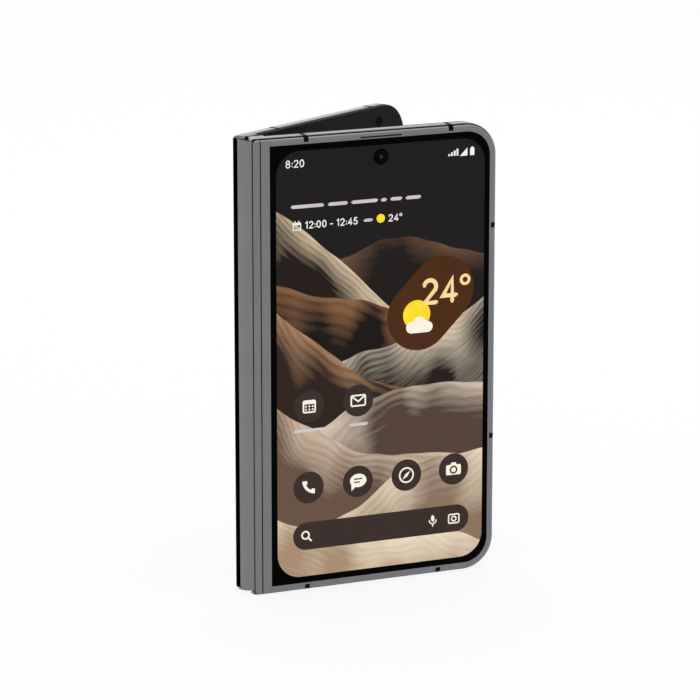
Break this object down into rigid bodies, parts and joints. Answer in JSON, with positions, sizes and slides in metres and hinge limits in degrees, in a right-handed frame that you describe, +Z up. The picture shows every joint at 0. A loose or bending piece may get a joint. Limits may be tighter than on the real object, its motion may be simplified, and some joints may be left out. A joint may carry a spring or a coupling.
{
  "type": "foldable smartphone",
  "caption": "Book-style folding phone, partly open: two slim halves on a geared two-axis hinge, an outer glass screen, a folding inner screen, a camera bar and side buttons.",
  "frame": {"origin": "centre of the bounding box of the stored pose, on the plane the phone stands on", "axes": "+Z up along the height of the phone; the fold edge is at -X, the middle plane between the halves is parallel to XZ, the half with the cover screen is at -Y"},
  "size_m": [0.0776, 0.0514, 0.1397],
  "materials": {
    "frame_metal": "satin anodised, dark",
    "rail_metal": "polished dark steel",
    "spine_metal": "polished dark steel",
    "hinge_steel": "machined",
    "gear_steel": "hardened, bright",
    "cover_glass": "clear, glossy",
    "screen": "lit screen",
    "back_glass": "matte glass",
    "antenna_plastic": "matte",
    "bezel_plastic": "matte",
    "folding_screen": "soft gloss film, off",
    "camera_metal": "satin anodised, dark",
    "lens": "coated lens",
    "flash_lens": "frosted",
    "board": "solder mask",
    "battery_wrap": "foil wrap",
    "copper": "wound copper",
    "port_steel": "bright",
    "black_part": "moulded",
    "mesh": "woven mesh",
    "button_metal": "satin anodised, dark",
    "flex": "polyimide",
    "support_steel": "rolled"
  },
  "bodies": {
    "spine": {"spine_cover": "spine_metal", "spine_caps": "black_part", "spine_core": "hinge_steel", "lower_hinge_block": "hinge_steel", "upper_hinge_block": "hinge_steel", "torque_clips": "hinge_steel", "fold_film": "folding_screen"},
    "front_half": {"front_frame": "frame_metal", "front_hinge_rail": "rail_metal", "cover_glass": "cover_glass", "cover_screen": "screen", "front_antenna_breaks": "antenna_plastic", "earpiece_grille": "mesh", "receiver": "black_part", "front_camera": "lens", "front_battery": "battery_wrap", "front_board": "board", "sim_reader": "port_steel", "front_bezel": "bezel_plastic", "front_panel": "folding_screen", "front_support_plate": "support_steel", "front_swing_arms": "hinge_steel", "front_hinge_shafts": "gear_steel", "front_screws": "hinge_steel"},
    "rear_half": {"rear_frame": "frame_metal", "rear_hinge_rail": "rail_metal", "back_glass": "back_glass", "camera_bar": "camera_metal", "camera_window": "cover_glass", "main_camera": "lens", "wide_camera": "lens", "long_camera": "lens", "flash": "flash_lens", "rear_antenna_breaks": "antenna_plastic", "rear_battery": "battery_wrap", "charging_coil": "copper", "main_board": "board", "usb_receptacle": "port_steel", "loudspeaker": "black_part", "vibration_motor": "port_steel", "side_switches": "flex", "rear_bezel": "bezel_plastic", "rear_panel": "folding_screen", "rear_support_plate": "support_steel", "inner_camera": "lens", "rear_swing_arms": "hinge_steel", "rear_hinge_shafts": "gear_steel", "rear_screws": "hinge_steel"},
    "front_idler": {"front_idler_gears": "gear_steel"},
    "rear_idler": {"rear_idler_gears": "gear_steel"},
    "sim_tray": {"sim_tray": "button_metal"},
    "power_button": {"power_button": "button_metal"},
    "volume_rocker": {"volume_rocker": "button_metal"}
  },
  "joints": [
    {"name": "front_fold", "type": "hinge", "parent": "spine", "child": "front_half", "pos_m": [-0.03605, -0.00235, 0.06985], "axis": [0, 0, 1], "range_deg": [-75, 15], "deforming": ["fold_film"]},
    {"name": "rear_fold", "type": "hinge", "parent": "spine", "child": "rear_half", "pos_m": [-0.03605, 0.00195, 0.06985], "axis": [0, 0, 1], "range_deg": [-15, 75]},
    {"name": "front_idler_turn", "type": "hinge", "parent": "spine", "child": "front_idler", "pos_m": [-0.03605, -0.00092, 0.06985], "axis": [0, 0, 1], "range_deg": [-15, 75]},
    {"name": "rear_idler_turn", "type": "hinge", "parent": "spine", "child": "rear_idler", "pos_m": [-0.03605, 0.00052, 0.06985], "axis": [0, 0, 1], "range_deg": [-75, 15]},
    {"name": "sim_slide", "type": "slide", "parent": "front_half", "child": "sim_tray", "axis": [0, 0, -1], "range_m": [0, 0.0175]},
    {"name": "power_press", "type": "slide", "parent": "rear_half", "child": "power_button", "axis": [-0.9659, -0.2588, 0], "range_m": [0, 0.00025], "stiffness_N_per_m": 300},
    {"name": "volume_rock", "type": "hinge", "parent": "rear_half", "child": "volume_rocker", "pos_m": [0.03579, 0.02283, 0.072], "axis": [-0.2588, 0.9659, 0], "range_deg": [-0.9, 0.9], "stiffness_Nm_per_rad": 0.02}
  ],
  "couplings": [
    {"joint": "rear_fold", "follows": "front_fold", "ratio": -1},
    {"joint": "front_idler_turn", "follows": "front_fold", "ratio": -1},
    {"joint": "rear_idler_turn", "follows": "front_fold", "ratio": 1}
  ]
}
